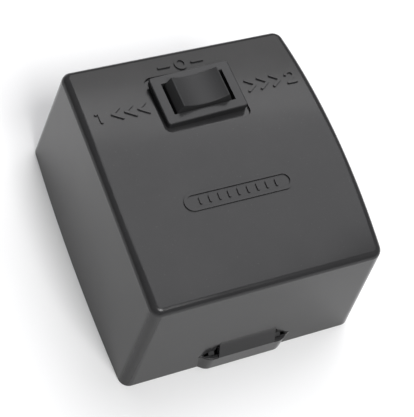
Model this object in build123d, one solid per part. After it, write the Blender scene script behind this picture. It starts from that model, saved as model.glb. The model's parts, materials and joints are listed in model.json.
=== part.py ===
from build123d import *
import math
import os

# Surface-mounted control box with a three-position rocker switch, for a reversible
# ventilating fan.  It lies on its back: the origin is the centre of the wall face,
# +X is to the right of the front, +Y is up the wall and +Z comes out of the wall.
# All sizes are in millimetres.

# ---------------------------------------------------------------- cover
cover_width = 75.0            # across the rim, at the corners
cover_height = 83.7           # along the rim
cover_depth = 43.0            # wall to the top and bottom edges of the front
dome_rise = 4.4               # crown of the front above those edges
side_bulge = 1.23             # the long side walls bow out by this much
draft_slope = 0.061           # every wall leans in by this much per millimetre
wall = 2.0
plan_corner = 3.2
inner_corner_min = 1.0
front_round = 2.2
mark_height = 0.45            # raised marks stand this far off the front
mark_stroke = 0.85

# ---------------------------------------------------------------- latch on the lower wall
latch_foot_half = 14.4        # half width where the strap leaves the wall
latch_face_half = 11.7        # half width of the strap's flat face
latch_stand_out = 1.55        # strap face outside the wall plane
latch_height = 7.0
latch_skin = 1.2
latch_foot_blend = 1.6        # hollow where the strap grows out of the wall
latch_window_top = 8.7
tongue_half = 9.0
tongue_top = 12.4
tongue_blend = 6.0
slit_width = 0.75
slit_top = 11.4
catch_depth = 1.0             # ledge under the tongue that the barb holds
catch_bottom = 5.5

# ---------------------------------------------------------------- back plate
plate_thickness = 2.5
plate_gap = 0.25              # between the plate and the cover's rim
lip_gap = 0.75                # between the locating lip and the cover's wall
lip_thickness = 1.6
lip_height = 5.5
lug_offset = 20.0             # the two top lugs, either side of the middle
lug_width = 6.0
lug_thickness = 2.0
lug_level = 4.6
lug_bite = 0.8
pocket_depth = 1.1
pocket_clearance = 0.2
wall_hole_from_side = 10.5     # hole centre to the side rim
wall_hole_radius = 2.25
wall_boss_radius = 5.5
wall_boss_height = 1.5
prong_width = 1.8
prong_height = 8.2
barb_half = 7.4
barb_gap = 0.25

# ---------------------------------------------------------------- cable entry
entry_from_top = 12.3         # entry centre to the top rim
entry_from_side = 15.5        # and to the right-hand rim
entry_bore_radius = 4.0
grommet_wall = 1.4
grommet_reach = 1.7           # flange beyond the hole
grommet_flange = 1.2
grommet_clearance = 0.1
clamp_from_entry = 12.0
clamp_half_span = 8.4
clamp_bar_depth = 7.0
clamp_bar_thickness = 2.0
clamp_way_half = 4.2
clamp_way_height = 7.4
clamp_boss_radius = 2.7
clamp_boss_height = 3.0

# ---------------------------------------------------------------- rocker switch
switch_from_top = 20.75       # switch centre to the top rim
switch_from_middle = 0.1      # and to the right of the middle
switch_below_crown = 1.07     # its seat below the top of the dome
switch_lean = 0.2             # degrees that its face leans towards the top
switch_roll = 0.95            # degrees that its right-hand end stands higher
switch_twist = 1.8            # degrees anticlockwise, seen from the front
flange_end_reach = 1.45       # bezel beyond the body, left and right
flange_side_reach = 1.76      # and above and below it
flange_thickness = 2.3
flange_corner = 1.0
flange_edge = 0.4
recess_from_top = 21.05       # centre of the sunken moat to the top rim
recess_from_middle = 0.15
recess_length = 26.7
recess_width = 20.4
recess_depth = 0.9
recess_corner = 2.5
body_length = 22.0
body_width = 12.6
body_depth = 14.35
cutout_clearance = 0.1
body_end_wall = 1.4
body_side_wall = 1.0
snap_lug = 0.5
snap_lug_half = 3.0
pivot_depth = 1.8             # rocker pivot below the seat
pivot_radius = 1.5
pivot_clearance = 0.05
rocker_end_gap = 1.1          # lets the ends swing 11 degrees each way
rocker_side_gap = 0.25
rocker_end_slant = 1.4
rocker_side_slant = 0.05
rocker_top_height = 5.4       # top corners above the seat
rocker_dish = 1.7
rocker_bottom = 3.6
rocker_shoulder = 0.3         # straight part ends this far below the flange's face
rocker_edge = 0.3

# ---------------------------------------------------------------- plunger and contacts
barrel_radius = 2.3
barrel_bottom = 6.2
plunger_radius = 1.25
plunger_clearance = 0.06
plunger_tip_depth = 7.6
plunger_length = 4.2
plunger_bore_top = 1.0
spring_wire = 0.32
spring_turns = 6
spring_clearance = 0.12
plunger_gap = 0.12            # tip to the see-saw strip at rest
strip_end = 0.1               # strip beyond the contacts
strip_width = 4.0
strip_thickness = 0.8
fulcrum_radius = 0.6
fulcrum_clearance = 0.05
fulcrum_drop = 0.2            # fulcrum centre below the strip's underside
contact_reach = 6.8
contact_radius = 1.3
contact_head = 0.8
contact_shank_radius = 0.6
contact_shank_clearance = 0.05
contact_top_head_radius = 0.95
contact_top_head = 0.25
contact_open_gap = 1.13       # between the contacts at rest
fixed_head = 0.6

# ---------------------------------------------------------------- switch base and terminals
base_clearance = 0.1
base_plug = 2.5
base_flange = 1.0
blade_thickness = 0.8
blade_width = 4.8
blade_length = 7.0
blade_clearance = 0.1
terminal_pitch = 7.5
terminal_pad_half = 2.2

# ---------------------------------------------------------------- push-on receptacles
receptacle_wall = 0.5
receptacle_length = 6.6
receptacle_play = 0.05
receptacle_stand_off = 0.4
barrel_length = 3.5
sleeve_wall = 0.6
sleeve_clearance = 0.3
sleeve_start = 0.4
sleeve_tail = 1.0

# ---------------------------------------------------------------- wiring
wire_radius = 1.1
wire_fit = 0.05
wire_bite = 3.0               # length inside a terminal
wire_drop = 6.0               # straight below a sleeve before the wire turns
wire_lead_in = 4.4            # straight in front of a port

# ---------------------------------------------------------------- capacitor
capacitor_length = 37.0
capacitor_width = 15.0
capacitor_height = 26.0
capacitor_wall = 1.2
capacitor_from_wall = 3.2
resin_depth = 3.0
resin_sink = 0.5
capacitor_lead_offset = 6.0
capacitor_corner = 1.5
ear_length = 8.5
ear_width = 11.0
ear_thickness = 1.6
lead_radius = 0.95
lead_gap = 11.5               # capacitor to terminal block
lead_rise = 8.0

# ---------------------------------------------------------------- terminal block
block_ways = 4
block_pitch = 10.0
block_depth = 16.0
block_height = 12.5
block_groove = 1.6
block_floor = 4.0
insert_size = 5.2
insert_length = 13.0
insert_level = 5.7            # wire way above the plate
insert_clearance = 0.12
port_clearance = 0.25
clamp_screw_offset = 3.6
clamp_screw_radius = 1.4
clamp_screw_length = 5.0
screw_access_radius = 1.9

# ---------------------------------------------------------------- small screws
screw_shank_radius = 1.2
screw_head_radius = 2.0
screw_head_height = 1.4
screw_clearance = 0.1
screw_slot = 0.5
screw_bite = 2.3

# ---------------------------------------------------------------- worked-out sizes
flange_length = body_length + 2 * flange_end_reach
flange_width = body_width + 2 * flange_side_reach
opening_length = body_length - 2 * body_end_wall
opening_width = body_width - 2 * body_side_wall
rocker_base_length = opening_length - 2 * rocker_end_gap
rocker_base_width = opening_width - 2 * rocker_side_gap
rocker_top_length = rocker_base_length - 2 * rocker_end_slant
rocker_top_width = rocker_base_width - 2 * rocker_side_slant
strip_length = 2 * (contact_reach + contact_radius + strip_end)
entry_hole_radius = entry_bore_radius + grommet_wall + grommet_clearance
grommet_flange_radius = entry_hole_radius + grommet_reach
port_radius = wire_radius + port_clearance
half_height = cover_height / 2
crown = cover_depth + dome_rise
dome_radius = (half_height ** 2 + dome_rise ** 2) / (2 * dome_rise)
switch_y = half_height - switch_from_top
entry_y = half_height - entry_from_top
entry_x = cover_width / 2 - entry_from_side
wall_hole_x = cover_width / 2 - wall_hole_from_side
lower_wall_y = -half_height
seat_z = crown - switch_below_crown
recess_tilt = math.asin((half_height - recess_from_top) / dome_radius)
recess_place = Location((recess_from_middle, half_height - recess_from_top,
                         crown - dome_radius * (1 - math.cos(recess_tilt))),
                        (-math.degrees(recess_tilt), 0, 0))
seat = Location((switch_from_middle, switch_y, seat_z), (-switch_lean, -switch_roll, switch_twist))
strip_top = -plunger_tip_depth - plunger_gap
fulcrum_level = strip_top - strip_thickness - fulcrum_drop
moving_contact_bottom = strip_top - strip_thickness - contact_head
fixed_contact_top = moving_contact_bottom - contact_open_gap
base_top = fixed_contact_top - fixed_head - blade_thickness
base_bottom = -body_depth - base_flange
blade_bottom = base_bottom - blade_length


def block(x0, x1, y0, y1, z0, z1):
    """Box between two corners."""
    size = (x1 - x0, y1 - y0, z1 - z0)
    return Pos((x0 + x1) / 2, (y0 + y1) / 2, (z0 + z1) / 2) * Box(*size)


def rod(radius, z0, z1, x=0.0, y=0.0):
    """Round bar along Z."""
    return Pos(x, y, (z0 + z1) / 2) * Cylinder(radius, z1 - z0)


def rounded_block(length, width, corner, z0, z1):
    """Block centred on Z with rounded upright edges."""
    plan = Pos(0, 0, z0) * RectangleRounded(length, width, corner)
    return extrude(plan, z1 - z0)


def plan_sketch(level, inset):
    """Outline of the box at a level above the wall, taken in by inset."""
    taken_in = inset + draft_slope * level
    half_w = cover_width / 2 - taken_in
    half_h = cover_height / 2 - taken_in
    edges = Line((-half_w, half_h), (half_w, half_h))
    edges += ThreePointArc((half_w, half_h), (half_w + side_bulge, 0), (half_w, -half_h))
    edges += Line((half_w, -half_h), (-half_w, -half_h))
    edges += ThreePointArc((-half_w, -half_h), (-half_w - side_bulge, 0), (-half_w, half_h))
    outline = make_face(edges)
    outline = fillet(outline.vertices(), max(plan_corner - inset, inner_corner_min))
    return Pos(0, 0, level) * outline


def plan_block(z0, z1, inset):
    """Drafted block with the outline of the box."""
    return loft([plan_sketch(z0, inset), plan_sketch(z1, inset)], ruled=True)


def dome(inset):
    """Barrel vault under the front face, taken in by inset."""
    turned = Rot(0, 90, 0) * Cylinder(dome_radius - inset, 2 * cover_width)
    return Pos(0, 0, crown - dome_radius) * turned


def in_seat(shape):
    """Move a shape from the switch's own frame to its tilted seat in the front."""
    return seat * shape


def seat_point(x, level):
    """Point on the switch's middle plane, from its own frame to the box's."""
    return (seat * Location((x, 0, level))).position


def pan_screw(x, y, seat_level, bite):
    """Small pan-head screw with a straight slot, pointing down."""
    screw = rod(screw_head_radius, seat_level, seat_level + screw_head_height, x, y)
    screw = fillet(screw.edges().group_by(Axis.Z)[-1], screw_head_height / 3)
    screw += rod(screw_shank_radius, seat_level - bite, seat_level, x, y)
    half_slot = screw_slot / 2
    top = seat_level + screw_head_height
    screw -= block(x - screw_head_radius, x + screw_head_radius, y - half_slot, y + half_slot,
                   top - screw_slot, top + screw_slot)
    return screw


def wire(points, radius, name):
    """Round wire along straight runs joined by arcs as large as the runs allow."""
    points = [Vector(*point) for point in points]
    radii = []
    for before, corner, after in zip(points, points[1:], points[2:]):
        turn = math.radians((corner - before).get_angle(after - corner))
        shorter = min((corner - before).length, (after - corner).length)
        radii.append(0.45 * shorter / math.tan(turn / 2))
    path = FilletPolyline(*points, radius=radii)
    section = Plane(origin=points[0], z_dir=points[1] - points[0]) * Circle(radius)
    solid = sweep(section, path=path)
    expected = math.pi * radius ** 2 * path.length
    print(name, "radii", [round(r, 1) for r in radii], "length", round(path.length, 1),
          "volume ratio", round(solid.volume / expected, 4))
    return solid


# ================================================================ marks on the front
def stroke(start, end):
    """Round-ended bar between two points."""
    run = Vector(*end) - Vector(*start)
    middle = (Vector(*start) + Vector(*end)) * 0.5
    angle = math.degrees(math.atan2(run.Y, run.X))
    return Pos(middle.X, middle.Y) * SlotCenterToCenter(run.length, mark_stroke, rotation=angle)


def strokes(points):
    """Chain of round-ended bars."""
    shape = stroke(points[0], points[1])
    for start, end in zip(points[1:], points[2:]):
        shape += stroke(start, end)
    return shape


def chevrons(first_x, y, count, pitch, half_w, half_h):
    """Row of arrow heads; a negative half_w points them left."""
    row = Sketch()
    for index in range(count):
        x = first_x + index * pitch
        row += strokes([(x - half_w, y + half_h), (x + half_w, y), (x - half_w, y - half_h)])
    return row


def figure_one(x, y, half_h):
    """Numeral one."""
    return strokes([(x - half_h / 2, y + half_h / 2), (x, y + half_h), (x, y - half_h)])


def figure_two(x, y, half_w, half_h):
    """Numeral two."""
    shoulder = half_h * 0.55
    points = [(x - half_w, y + shoulder), (x - half_w / 2, y + half_h), (x + half_w / 2, y + half_h),
              (x + half_w, y + shoulder), (x + half_w, y + shoulder / 3),
              (x - half_w, y - half_h), (x + half_w, y - half_h)]
    return strokes(points)


def figure_zero(x, y, half_w, half_h):
    """Numeral nought."""
    outer = Ellipse(half_w + mark_stroke / 2, half_h + mark_stroke / 2)
    inner = Ellipse(half_w - mark_stroke / 2, half_h - mark_stroke / 2)
    return Pos(x, y) * (outer - inner)


def front_marks():
    """Raised position marks round the switch, and a blank name plate below."""
    side_y = switch_y - 0.2
    side_half = 1.9
    marks = figure_one(-29.6, side_y, side_half)
    marks += chevrons(-24.6, side_y, 3, 4.0, -1.3, side_half)
    marks += chevrons(17.3, side_y, 3, 4.0, 1.3, side_half)
    marks += figure_two(30.0, side_y, 1.3, side_half)
    top_y = switch_y + 12.5
    marks += figure_zero(0, top_y, 1.5, 1.75)
    for side in (-1, 1):
        marks += stroke((side * 3.6, top_y), (side * 6.9, top_y))
    plate_y = switch_y - 32.6
    marks += Pos(0, plate_y) * (SlotOverall(33.0, 5.6) - SlotOverall(33.0 - 2 * mark_stroke,
                                                                  5.6 - 2 * mark_stroke))
    for index in range(9):
        x = (index - 4) * 2.9
        marks += stroke((x, plate_y - 0.75), (x, plate_y + 0.75))
    prism = extrude(marks, crown + 2 * mark_height)
    skin = dome(-mark_height) - dome(wall / 2)
    return prism & skin


# ================================================================ cover
def strap_outline(inset):
    """Plan of the latch strap, from inside the wall to its flat face."""
    foot = latch_foot_half - inset
    face = latch_face_half - inset / 2
    out = lower_wall_y - latch_stand_out + inset
    root = wall_y_at(latch_height) + inset
    inside = lower_wall_y + wall * 0.75 + inset
    end = foot + latch_foot_blend
    outline = make_face(Polyline((-end, inside), (-end, root), (-foot, root), (-face, out), (face, out),
                                 (foot, root), (end, root), (end, inside), close=True))
    corners = [vertex for vertex in outline.vertices() if abs(abs(vertex.X) - foot) < 0.01]
    return fillet(corners, 2 * latch_foot_blend)


def wall_y_at(level):
    """Outer face of the lower wall at a level."""
    return lower_wall_y + draft_slope * level


def tongue():
    """Ramp from the strap's top edge back to the wall."""
    out = lower_wall_y - latch_stand_out
    profile = make_face(Polyline((out, latch_height - latch_skin), (out, latch_height),
                                 (wall_y_at(tongue_top), tongue_top),
                                 (wall_y_at(tongue_top) + wall * 0.8, tongue_top),
                                 (out + latch_skin, latch_height - latch_skin), close=True))
    profile = Plane.YZ * profile
    return Pos(-tongue_half, 0, 0) * extrude(profile, 2 * tongue_half)


def make_front_cover():
    outer = plan_block(0, crown + 1, 0) & dome(0)
    outer = fillet(outer.faces().sort_by(Axis.Z)[-1].edges(), front_round)
    cavity = plan_block(-1, crown, wall) & dome(wall)
    cover = outer - cavity
    backing = rounded_block(recess_length + 2 * wall, recess_width + 2 * wall, recess_corner + wall,
                            -recess_depth - wall, 0)
    cover += (recess_place * backing) & outer
    cover += front_marks()
    cover -= recess_place * rounded_block(recess_length, recess_width, recess_corner,
                                          -recess_depth, crown)
    cover += in_seat(rounded_block(flange_length - 2 * flange_edge, flange_width - 2 * flange_edge,
                                   flange_corner, -2 * wall, 0))
    half_l = body_length / 2 + cutout_clearance
    half_w = body_width / 2 + cutout_clearance
    cover -= in_seat(block(-half_l, half_l, -half_w, half_w, -4 * wall, wall))
    lug_room = body_length / 2 + snap_lug + wall
    lug_half = snap_lug_half + cutout_clearance
    cover -= in_seat(block(-lug_room, lug_room, -lug_half, lug_half, -4 * wall, -wall))

    window_half = latch_foot_half - latch_skin
    window = block(-window_half, window_half, lower_wall_y - wall, lower_wall_y + 2 * wall,
                   -1, latch_window_top)
    upper_corners = window.edges().filter_by(Axis.Y).group_by(Axis.Z)[-1]
    cover -= fillet(upper_corners, 2 * latch_skin)
    strap = extrude(strap_outline(0), latch_height)
    bends = strap.edges().filter_by(Axis.Z).group_by(Axis.Y)[0]
    strap = fillet(bends, 3 * latch_skin)
    rims = strap.edges().group_by(Axis.Z)[-1]
    strap = fillet(rims.filter_by_position(Axis.Y, -cover_height, lower_wall_y), latch_skin / 3)
    pocket = extrude(Pos(0, 0, -1) * strap_outline(latch_skin), latch_height + 2)
    strap -= pocket & block(-window_half, window_half, -cover_height, 0, -1, latch_height + 2)
    strap -= block(-window_half, window_half, lower_wall_y + draft_slope, lower_wall_y + 2 * wall,
                   -1, latch_height + 1)
    cover += strap
    cover += tongue()
    blend_edge = (cover.edges().filter_by(Axis.X)
                  .filter_by_position(Axis.Z, tongue_top - 0.3, tongue_top + 0.3)
                  .filter_by_position(Axis.Y, lower_wall_y - 0.5, wall_y_at(tongue_top) + 0.3))
    cover = fillet(blend_edge, tongue_blend)
    catch_y = lower_wall_y - latch_stand_out + latch_skin
    cover += block(-barb_half, barb_half, catch_y - latch_skin / 2, catch_y + catch_depth,
                   catch_bottom, latch_height)
    for side in (-1, 1):
        x0 = side * tongue_half
        x1 = side * (tongue_half + slit_width)
        cover -= block(min(x0, x1), max(x0, x1), lower_wall_y - 2 * latch_stand_out,
                       lower_wall_y + 2 * wall, latch_height, slit_top)
    for side in (-1, 1):
        half = lug_width / 2 + pocket_clearance
        reach = -wall_y_at(lug_level) - wall + pocket_depth
        cover -= block(side * lug_offset - half, side * lug_offset + half, half_height - 3 * wall, reach,
                       lug_level - lug_thickness / 2 - pocket_clearance,
                       lug_level + lug_thickness / 2 + pocket_clearance)
    return cover


# ================================================================ back plate
capacitor_y1 = lower_wall_y + wall + lip_gap + lip_thickness + capacitor_from_wall + capacitor_width
capacitor_y0 = capacitor_y1 - capacitor_width
block_y0 = capacitor_y1 + lead_gap
block_y1 = block_y0 + block_depth
clamp_y = entry_y - clamp_from_entry


def block_fixing_xs():
    """Middles of the outer grooves of the terminal block."""
    return [-block_pitch, block_pitch]


def make_back_plate():
    inset = wall + plate_gap
    plate = plan_block(0, plate_thickness, inset)
    lip_top = plate_thickness + lip_height
    lip = plan_block(plate_thickness, lip_top, wall + lip_gap)
    lip -= plan_block(plate_thickness - 1, lip_top + 1, wall + lip_gap + lip_thickness)
    gap_half = latch_foot_half + latch_skin
    lip -= block(-gap_half, gap_half, lower_wall_y, 0, 0, lip_top + 1)
    plate += lip
    for side in (-1, 1):
        x = side * wall_hole_x
        plate += rod(wall_boss_radius, 0, plate_thickness + wall_boss_height, x)
        plate -= rod(wall_hole_radius, -1, plate_thickness + wall_boss_height + 1, x)
    for side in (-1, 1):
        x = side * lug_offset
        tip = -wall_y_at(lug_level) - wall + lug_bite
        plate += block(x - lug_width / 2, x + lug_width / 2,
                       half_height - wall - lip_gap - lip_thickness, tip,
                       lug_level - lug_thickness / 2, lug_level + lug_thickness / 2)

    strap_inner_y = lower_wall_y - latch_stand_out + latch_skin
    tab_y = strap_inner_y + barb_gap
    tab_half = latch_face_half - latch_skin - plate_gap
    plate += block(-tab_half, tab_half, tab_y, lower_wall_y + 2 * wall, 0, plate_thickness)
    upright_y = strap_inner_y + catch_depth + barb_gap
    barb_top = catch_bottom - barb_gap
    barb = make_face(Polyline((tab_y, plate_thickness), (tab_y, plate_thickness + 1.2),
                              (tab_y + 0.1, barb_top), (upright_y, barb_top),
                              (upright_y, latch_height), (upright_y + wall / 2, latch_height),
                              (upright_y + wall / 2, plate_thickness), close=True))
    plate += Pos(-barb_half, 0, 0) * extrude(Plane.YZ * barb, 2 * barb_half)
    prong_inner = tongue_half + slit_width + 0.1
    prong = make_face(Polyline((tab_y + 0.1, 0), (tab_y + 0.1, prong_height - 1.4),
                               (tab_y + wall * 0.8, prong_height), (tab_y + wall, 0), close=True))
    prong = extrude(Plane.YZ * prong, prong_width)
    plate += Pos(prong_inner, 0, 0) * prong
    plate += Pos(-prong_inner - prong_width, 0, 0) * prong

    plate -= rod(entry_hole_radius, -1, plate_thickness + 1, entry_x, entry_y)
    seat_radius_back = grommet_flange_radius + grommet_clearance
    plate -= rod(seat_radius_back, -1, grommet_flange + grommet_clearance, entry_x, entry_y)
    for side in (-1, 1):
        x = entry_x + side * clamp_half_span
        boss_top = plate_thickness + clamp_boss_height
        plate += rod(clamp_boss_radius, plate_thickness, boss_top, x, clamp_y)
        plate -= rod(screw_shank_radius + screw_clearance, 0.8, boss_top + 1, x, clamp_y)
    for x in block_fixing_xs():
        plate -= rod(screw_shank_radius + screw_clearance, 0.5, plate_thickness + 1, x,
                     (block_y0 + block_y1) / 2)
    ear_x = capacitor_length / 2 + ear_length / 2
    capacitor_y = (capacitor_y0 + capacitor_y1) / 2
    plate -= rod(screw_shank_radius + screw_clearance, 0.5, plate_thickness + 1, ear_x, capacitor_y)
    return plate


# ================================================================ cable entry and clamp
def make_cable_grommet():
    neck = entry_hole_radius - grommet_clearance
    grommet = rod(grommet_flange_radius, 0, grommet_flange, entry_x, entry_y)
    grommet += rod(neck, 0, plate_thickness + grommet_flange, entry_x, entry_y)
    top = plate_thickness + grommet_clearance
    collar = rod(grommet_flange_radius - 0.4, top, top + grommet_flange, entry_x, entry_y)
    grommet += fillet(collar.edges().group_by(Axis.Z)[-1], grommet_flange / 3)
    bore_top = plate_thickness + 3 * grommet_flange
    return grommet - rod(entry_bore_radius, -1, bore_top, entry_x, entry_y)


def make_cable_clamp_bar():
    seat_level = plate_thickness + clamp_boss_height
    end = clamp_half_span + clamp_boss_radius
    arch_top = plate_thickness + clamp_way_height
    half = clamp_bar_depth / 2
    foot_inner = clamp_way_half + clamp_bar_thickness
    bar = block(-end, end, clamp_y - half, clamp_y + half, seat_level, seat_level + clamp_bar_thickness)
    bar += block(-foot_inner, foot_inner, clamp_y - half, clamp_y + half,
                 seat_level, arch_top + clamp_bar_thickness)
    bar -= block(-clamp_way_half, clamp_way_half, clamp_y - half - 1, clamp_y + half + 1,
                 0, arch_top)
    for side in (-1, 1):
        bar -= rod(screw_shank_radius + screw_clearance, 0, arch_top, side * clamp_half_span, clamp_y)
    outer = bar.edges().filter_by(Axis.Y).group_by(Axis.Z)[-1]
    return Pos(entry_x, 0, 0) * fillet(outer, clamp_bar_thickness / 2)


def make_cable_clamp_screws():
    level = plate_thickness + clamp_boss_height + clamp_bar_thickness
    bite = clamp_bar_thickness + screw_bite
    return [pan_screw(entry_x + side * clamp_half_span, clamp_y, level, bite) for side in (-1, 1)]


# ================================================================ switch body
def make_switch_body():
    flange = rounded_block(flange_length, flange_width, flange_corner, 0, flange_thickness)
    flange = fillet(flange.edges().group_by(Axis.Z)[-1], flange_edge)
    half_l = body_length / 2
    half_w = body_width / 2
    body = flange + block(-half_l, half_l, -half_w, half_w, -body_depth, 0)
    body -= block(-opening_length / 2, opening_length / 2, -opening_width / 2, opening_width / 2,
                  -body_depth - 1, flange_thickness + 1)
    bore = Rot(90, 0, 0) * Cylinder(pivot_radius + pivot_clearance, 2 * body_width)
    body -= Pos(0, 0, -pivot_depth) * bore
    lug_top = -wall - cutout_clearance
    for side in (-1, 1):
        lug = make_face(Polyline((half_l - 0.2, lug_top), (half_l + snap_lug, lug_top),
                                 (half_l - 0.2, lug_top - 4.0), close=True))
        lug = extrude(Plane.XZ * lug, snap_lug_half, both=True)
        body += lug if side > 0 else Rot(0, 0, 180) * lug
    return in_seat(body)


def make_switch_base():
    half_l = opening_length / 2 - base_clearance
    half_w = opening_width / 2 - base_clearance
    base = block(-half_l, half_l, -half_w, half_w, -body_depth, base_top)
    base += rounded_block(body_length, body_width, flange_corner, base_bottom, -body_depth)
    half_slot = blade_thickness / 2 + blade_clearance
    half_blade = blade_width / 2 + blade_clearance
    for index in (-1, 0, 1):
        x = index * terminal_pitch
        base -= block(x - half_slot, x + half_slot, -half_blade, half_blade, base_bottom - 1, 0)
    return in_seat(base)


# ================================================================ rocker, plunger and spring
def make_rocker_button():
    shoulder = flange_thickness - rocker_shoulder
    width = rocker_base_width
    slope = (rocker_base_length - rocker_top_length) / 2 / (rocker_top_height - shoulder)
    over = 0.6
    lower = Pos(0, 0, shoulder) * Rectangle(rocker_base_length, width)
    over_length = rocker_top_length - 2 * slope * over
    upper = Pos(0, 0, rocker_top_height + over) * Rectangle(over_length, rocker_top_width)
    cap = loft([lower, upper], ruled=True)
    half_chord = rocker_top_length / 2
    dish_radius = (half_chord ** 2 + rocker_dish ** 2) / (2 * rocker_dish)
    dish = Rot(90, 0, 0) * Cylinder(dish_radius, 4 * width)
    cap -= Pos(0, 0, rocker_top_height - rocker_dish + dish_radius) * dish
    cap -= block(-half_chord * 2, half_chord * 2, -width, width, rocker_top_height, 2 * crown)
    half_l = rocker_base_length / 2
    rocker = cap + block(-half_l, half_l, -width / 2, width / 2, -rocker_bottom, shoulder)
    rocker = fillet(rocker.edges().filter_by_position(Axis.Z, shoulder + 0.1, rocker_top_height),
                    rocker_edge)
    rocker -= block(-half_l + 1.5, -barrel_radius - 1.4, -width / 2 + 1.2, width / 2 - 1.2,
                    -rocker_bottom - 1, 0.5)
    rocker -= block(barrel_radius + 1.4, half_l - 1.5, -width / 2 + 1.2, width / 2 - 1.2,
                    -rocker_bottom - 1, 0.5)
    rocker += rod(barrel_radius, -barrel_bottom, -rocker_bottom)
    pin = Rot(90, 0, 0) * Cylinder(pivot_radius, body_width - 2 * cutout_clearance)
    rocker += Pos(0, 0, -pivot_depth) * pin
    rocker -= rod(plunger_radius + plunger_clearance, -barrel_bottom - 1, plunger_bore_top)
    return in_seat(rocker)


def make_contact_plunger():
    ball_level = -plunger_tip_depth + plunger_radius
    plunger = rod(plunger_radius, ball_level, -plunger_tip_depth + plunger_length)
    plunger += Pos(0, 0, ball_level) * Sphere(plunger_radius)
    return in_seat(plunger)


def make_plunger_spring():
    coil_radius = plunger_radius - spring_clearance - spring_wire / 2
    low = -plunger_tip_depth + plunger_length + spring_wire / 2 + 0.02
    high = plunger_bore_top - spring_wire / 2 - 0.02
    pitch = (high - low) / spring_turns
    path = Pos(0, 0, low) * Helix(pitch, high - low, coil_radius)
    section = Plane(origin=path @ 0, z_dir=path % 0) * Circle(spring_wire / 2)
    return in_seat(sweep(section, path=path, is_frenet=True))


# ================================================================ contacts and terminals
def make_moving_contact():
    half_l = strip_length / 2
    strip = block(-half_l, half_l, -strip_width / 2, strip_width / 2,
                  strip_top - strip_thickness, strip_top)
    strip = fillet(strip.edges().filter_by(Axis.Z), strip_width / 4)
    groove = Rot(90, 0, 0) * Cylinder(fulcrum_radius + fulcrum_clearance, 2 * strip_width)
    strip -= Pos(0, 0, fulcrum_level) * groove
    for side in (-1, 1):
        strip -= rod(contact_shank_radius + contact_shank_clearance, strip_top - 2, strip_top + 2,
                     side * contact_reach)
    return in_seat(strip)


def make_moving_contact_rivets():
    rivets = []
    for side in (-1, 1):
        x = side * contact_reach
        under = strip_top - strip_thickness
        rivet = rod(contact_radius, moving_contact_bottom, under, x)
        rivet = fillet(rivet.edges().group_by(Axis.Z)[0], contact_head / 4)
        rivet += rod(contact_shank_radius, under, strip_top, x)
        rivet += rod(contact_top_head_radius, strip_top, strip_top + contact_top_head, x)
        rivets.append(in_seat(rivet))
    return rivets


def make_common_terminal():
    half_t = blade_thickness / 2
    half_b = blade_width / 2
    half_s = strip_width / 2 - 0.2
    blade = block(-half_t, half_t, -half_b, half_b, blade_bottom, base_top + blade_thickness)
    blade = chamfer(blade.edges().filter_by(Axis.X).group_by(Axis.Z)[0], 0.8)
    blade += block(-1.2, 1.2, -half_b, half_b, base_top, base_top + blade_thickness)
    blade += block(-half_t, half_t, -half_s, half_s, base_top, fulcrum_level)
    blade += Pos(0, 0, fulcrum_level) * (Rot(90, 0, 0) * Cylinder(fulcrum_radius, 2 * half_s))
    return in_seat(blade)


def make_side_terminal(side):
    half_t = blade_thickness / 2
    half_b = blade_width / 2
    x = side * terminal_pitch
    pad_x = side * contact_reach
    blade = block(x - half_t, x + half_t, -half_b, half_b, blade_bottom, base_top + blade_thickness)
    blade = chamfer(blade.edges().filter_by(Axis.X).group_by(Axis.Z)[0], 0.8)
    blade += block(pad_x - terminal_pad_half, pad_x + terminal_pad_half, -half_b, half_b,
                   base_top, base_top + blade_thickness)
    return in_seat(blade)


def make_fixed_contact_rivets():
    rivets = []
    for side in (-1, 1):
        button = rod(contact_radius + 0.1, base_top + blade_thickness, fixed_contact_top,
                     side * contact_reach)
        rivets.append(in_seat(fillet(button.edges().group_by(Axis.Z)[-1], fixed_head / 3)))
    return rivets


# ================================================================ receptacles and sleeves
receptacle_top = base_bottom - receptacle_stand_off
receptacle_bottom = receptacle_top - receptacle_length
barrel_bottom_level = receptacle_bottom - barrel_length
receptacle_half_x = blade_thickness / 2 + receptacle_play + receptacle_wall
receptacle_half_y = blade_width / 2 + receptacle_play + receptacle_wall


def make_tab_receptacles():
    pieces = []
    slot_x = blade_thickness / 2 + receptacle_play
    slot_y = blade_width / 2 + receptacle_play
    crimp_radius = wire_radius + wire_fit + receptacle_wall
    for index in (-1, 0, 1):
        x = index * terminal_pitch
        piece = block(x - receptacle_half_x, x + receptacle_half_x, -receptacle_half_y,
                      receptacle_half_y, receptacle_bottom, receptacle_top)
        piece += rod(crimp_radius, barrel_bottom_level, receptacle_bottom, x)
        piece -= block(x - slot_x, x + slot_x, -slot_y, slot_y, blade_bottom - 0.1, receptacle_top + 1)
        piece -= block(x + slot_x, x + 2 * receptacle_half_x, -0.4, 0.4,
                       receptacle_bottom + 1.5, receptacle_top + 1)
        piece -= rod(wire_radius + wire_fit, barrel_bottom_level - 1, receptacle_bottom, x)
        pieces.append(in_seat(piece))
    return pieces


def make_receptacle_sleeves():
    pieces = []
    crimp_radius = wire_radius + wire_fit + receptacle_wall
    inner_x = max(receptacle_half_x, crimp_radius) + sleeve_clearance
    inner_y = receptacle_half_y + sleeve_clearance
    top = receptacle_top - sleeve_start
    bottom = barrel_bottom_level - sleeve_tail
    for index in (-1, 0, 1):
        outer = rounded_block(2 * (inner_x + sleeve_wall), 2 * (inner_y + sleeve_wall),
                              inner_x, bottom, top)
        inner = rounded_block(2 * inner_x, 2 * inner_y, inner_x - sleeve_wall, bottom - 1, top + 1)
        pieces.append(in_seat(Pos(index * terminal_pitch, 0, 0) * (outer - inner)))
    return pieces


# ================================================================ terminal block
def way_xs():
    """Middle of each way of the terminal block."""
    first = -(block_ways - 1) * block_pitch / 2
    return [first + index * block_pitch for index in range(block_ways)]


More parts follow.
